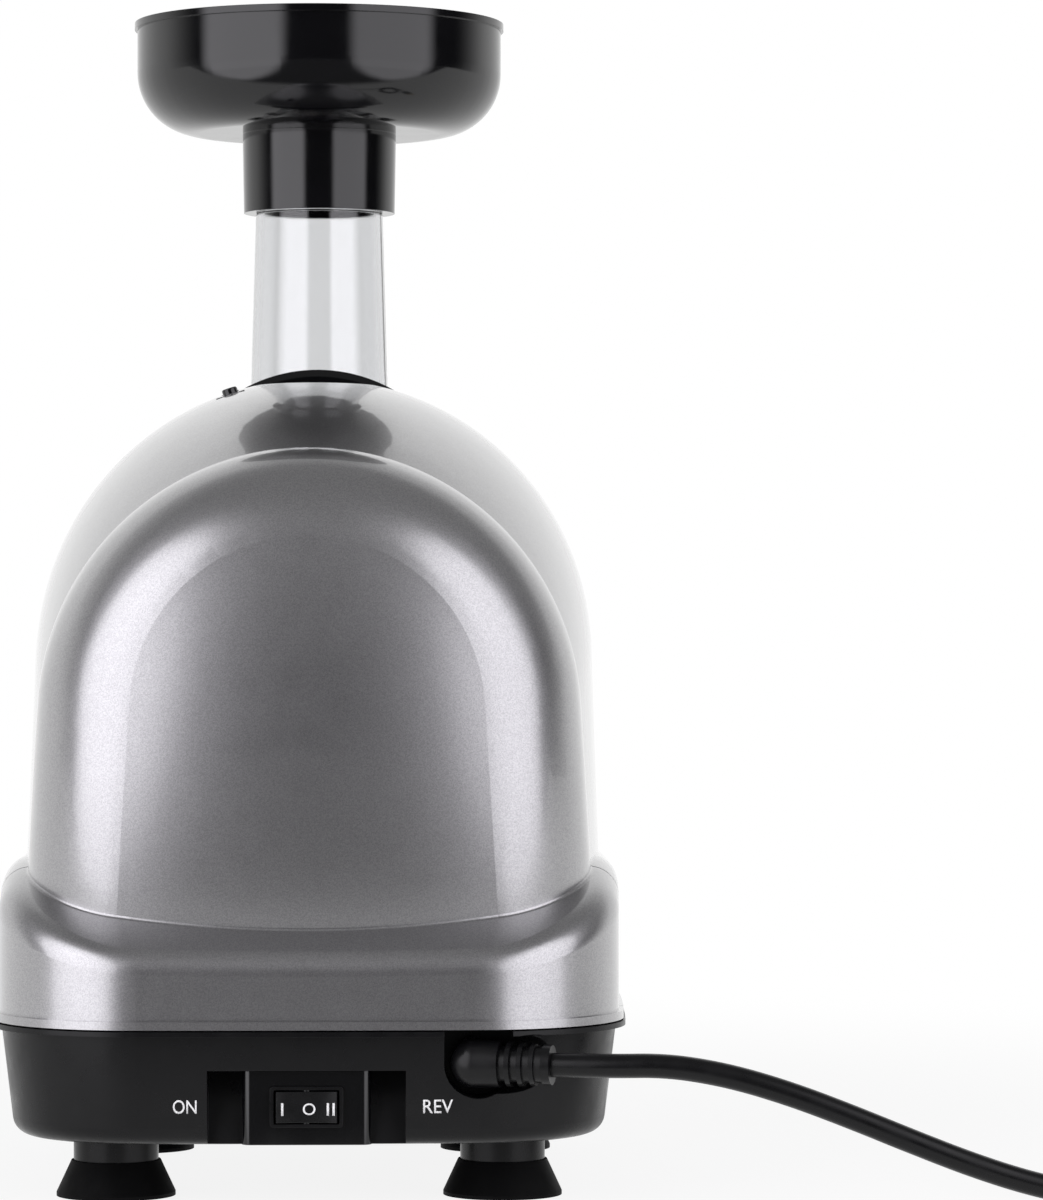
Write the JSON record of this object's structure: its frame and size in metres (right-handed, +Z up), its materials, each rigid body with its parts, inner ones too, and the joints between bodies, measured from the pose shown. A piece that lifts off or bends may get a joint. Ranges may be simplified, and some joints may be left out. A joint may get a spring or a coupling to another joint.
{
  "type": "slow juicer",
  "caption": "Horizontal slow juicer: silver domed motor housing on a black base with suction feet, clear drum and feed chute under a black bowl hopper, geared auger drive, coiled lead.",
  "frame": {"origin": "on the floor, under the middle of the machine's bounding box, measured without the mains lead", "axes": "+Z up, -Y to the rear with the switch and the lead, +Y to the drum and the pulp nozzle, +X to the right seen from behind"},
  "size_m": [0.3877, 0.3489, 0.3318],
  "materials": {
    "silver_paint": "moulded plastic with metallic silver paint",
    "black_satin": "satin black moulded plastic",
    "black_gloss": "gloss black moulded plastic",
    "clear_plastic": "clear moulded plastic",
    "rubber_black": "matt black rubber",
    "seal_rubber": "pale silicone rubber",
    "lead_sheath": "black flexible sheath",
    "steel": "bright steel",
    "core_steel": "laminated or pressed steel",
    "magnet": "dark sintered ferrite",
    "copper": "copper",
    "brass": "bright brass",
    "bronze": "sintered bronze",
    "carbon": "pressed carbon",
    "gear_nylon": "natural nylon",
    "case_alloy": "die-cast alloy",
    "auger_plastic": "dark food-grade plastic",
    "board_green": "glass fibre board with green mask",
    "board_parts": "dark component cases"
  },
  "bodies": {
    "machine": {"main_shell": "silver_paint", "rear_cover": "silver_paint", "base_tray": "black_satin", "switch_panel": "black_satin", "switch_body": "black_satin", "switch_terminals": "brass", "suction_feet": "rubber_black", "base_screws": "steel", "strain_relief": "rubber_black", "cord_tail": "lead_sheath", "cord_clamp": "black_satin", "clamp_screws": "steel", "cord": "lead_sheath", "cord_coil": "lead_sheath", "coil_tie": "lead_sheath", "plug": "black_satin", "plug_pins": "brass", "circuit_board": "board_green", "board_parts": "board_parts", "gear_case": "case_alloy", "gear_cover": "case_alloy", "gear_case_screws": "steel", "idler_pin": "steel", "output_bearings": "bronze", "motor_can": "core_steel", "motor_end_bell": "core_steel", "field_magnets": "magnet", "carbon_brushes": "carbon", "brush_holders": "black_satin", "motor_bearings": "steel", "motor_cradle": "black_satin", "mount_screws": "steel", "socket_ring": "black_satin", "socket_screws": "steel", "shaft_seal": "seal_rubber", "button_spring": "steel"},
    "rocker": {"switch_rocker": "black_gloss"},
    "button": {"release_button": "black_satin"},
    "drive": {"output_gear": "gear_nylon", "output_shaft": "steel", "drive_socket": "steel"},
    "idler": {"idler_gear": "gear_nylon"},
    "rotor": {"motor_shaft": "steel", "motor_pinion": "steel", "rotor_core": "core_steel", "rotor_windings": "copper", "commutator": "copper", "cooling_fan": "black_satin"},
    "screw": {"auger": "auger_plastic", "auger_shank": "steel", "auger_seal": "seal_rubber"},
    "drum": {"drum_barrel": "clear_plastic", "drum_collar": "black_gloss", "strainer_screen": "steel", "strainer_frame": "auger_plastic"},
    "cap": {"end_cap": "black_gloss", "cap_seal": "seal_rubber", "tip_bush": "bronze"},
    "bowl": {"hopper": "black_gloss"}
  },
  "joints": [
    {"name": "rocker_tilt", "type": "hinge", "parent": "machine", "child": "rocker", "pos_m": [0, -0.162, 0.0274], "axis": [0, 0, 1], "range_deg": [-12, 12]},
    {"name": "button_press", "type": "slide", "parent": "machine", "child": "button", "axis": [0.3086, 0, -0.9512], "range_m": [0, 0.0015], "stiffness_N_per_m": 400, "deforming": ["button_spring"]},
    {"name": "drive_spin", "type": "hinge", "parent": "machine", "child": "drive", "pos_m": [0, 0, 0.1825], "axis": [0, 1, 0], "continuous": true},
    {"name": "idler_spin", "type": "hinge", "parent": "machine", "child": "idler", "pos_m": [0, 0, 0.1477], "axis": [0, 1, 0], "continuous": true},
    {"name": "rotor_spin", "type": "hinge", "parent": "machine", "child": "rotor", "pos_m": [0, 0, 0.1147], "axis": [0, 1, 0], "continuous": true},
    {"name": "auger_spin", "type": "hinge", "parent": "machine", "child": "screw", "pos_m": [0, 0, 0.1825], "axis": [0, 1, 0], "continuous": true},
    {"name": "drum_twist", "type": "hinge", "parent": "machine", "child": "drum", "pos_m": [0, 0, 0.1825], "axis": [0, 1, 0], "range_deg": [0, 30]},
    {"name": "cap_twist", "type": "hinge", "parent": "drum", "child": "cap", "pos_m": [0, 0, 0.1825], "axis": [0, 1, 0], "range_deg": [0, 45]},
    {"name": "hopper_lift", "type": "slide", "parent": "drum", "child": "bowl", "axis": [0, 0, 1], "range_m": [0, 0.06]}
  ],
  "couplings": [
    {"joint": "idler_spin", "follows": "drive_spin", "ratio": -3.8333},
    {"joint": "rotor_spin", "follows": "drive_spin", "ratio": 17.25},
    {"joint": "auger_spin", "follows": "drive_spin", "ratio": 1}
  ]
}
